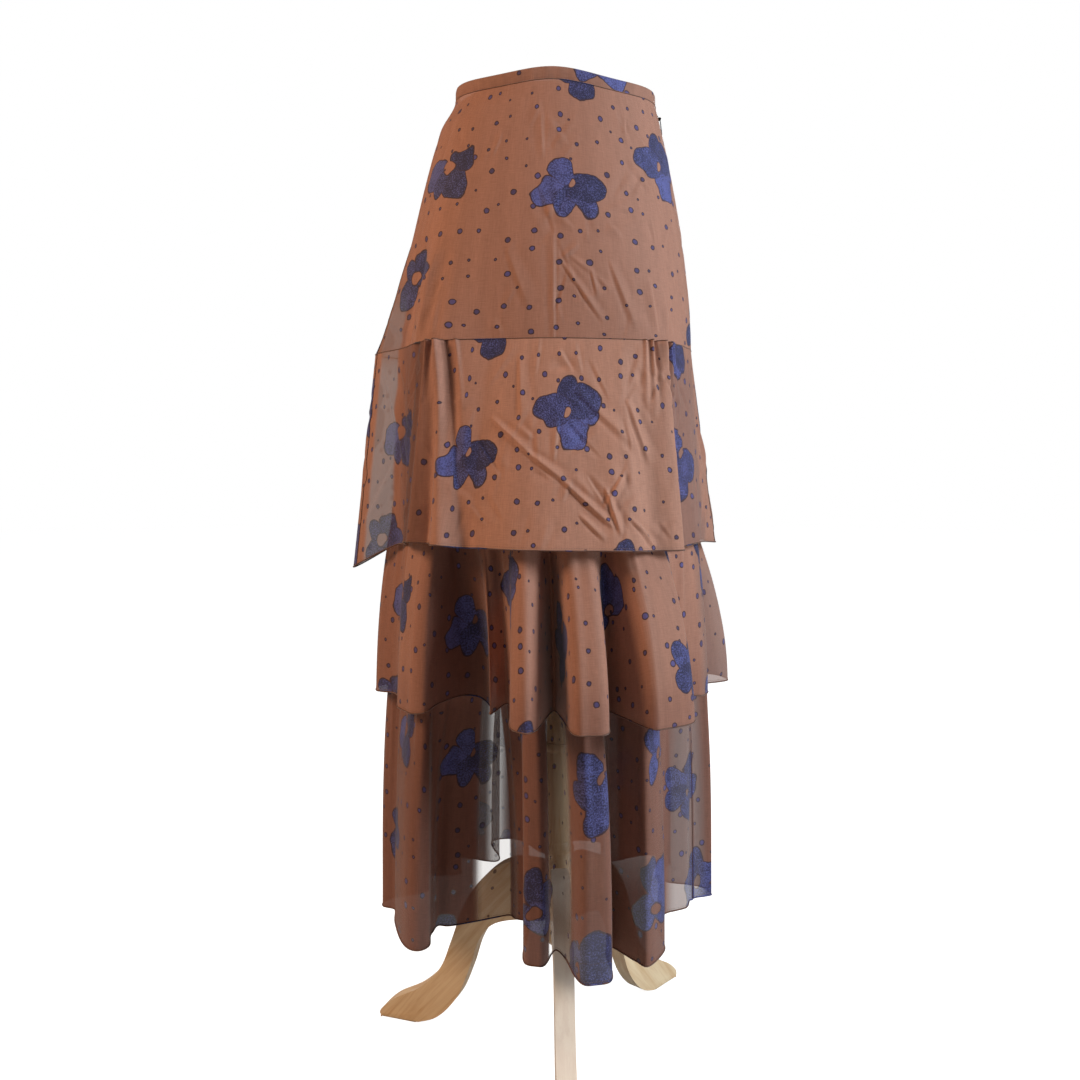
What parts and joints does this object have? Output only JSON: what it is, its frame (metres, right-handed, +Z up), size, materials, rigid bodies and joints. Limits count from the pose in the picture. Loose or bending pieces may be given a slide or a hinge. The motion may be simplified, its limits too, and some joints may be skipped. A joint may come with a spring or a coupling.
{
  "type": "tiered ruffle skirt on a dress form",
  "caption": "Tiered ruffle maxi skirt with a hip yoke and a side zip, hung on a limbless hip form on a turned wooden stand.",
  "frame": {"origin": "on the floor, under the centre of the whole object's footprint", "axes": "+Z up along the pole, the skirt's front faces -Y, the zip is on the +X side"},
  "size_m": [0.4745, 0.4731, 1.179],
  "materials": {
    "georgette": "matt, sheer, printed with dots and blotchy flowers",
    "zip_tape": "matt woven tape",
    "zip_metal": "satin enamel",
    "form_jersey": "matt jersey",
    "wood": "clear satin varnish"
  },
  "bodies": {
    "skirt": {"waistband": "georgette", "yoke_front": "georgette", "yoke_back": "georgette", "flounce_1_front": "georgette", "flounce_1_back": "georgette", "flounce_2_front": "georgette", "flounce_2_back": "georgette", "flounce_3_front": "georgette", "flounce_3_back": "georgette", "underskirt_upper_front": "georgette", "underskirt_upper_back": "georgette", "underskirt_lower_front": "georgette", "underskirt_lower_back": "georgette", "zip_tape": "zip_tape", "zip_slider": "zip_metal", "form_body": "form_jersey", "stand_pole": "wood", "stand_column": "wood", "stand_leg_front": "wood", "stand_leg_right": "wood", "stand_leg_left": "wood"},
    "zip_pull": {"zip_pull": "zip_metal"}
  },
  "joints": [
    {"name": "zip_pull_hinge", "type": "hinge", "parent": "skirt", "child": "zip_pull", "pos_m": [0.14672, 0.0057, 1.14578], "axis": [0, -1, 0], "range_deg": [0, 150]}
  ]
}
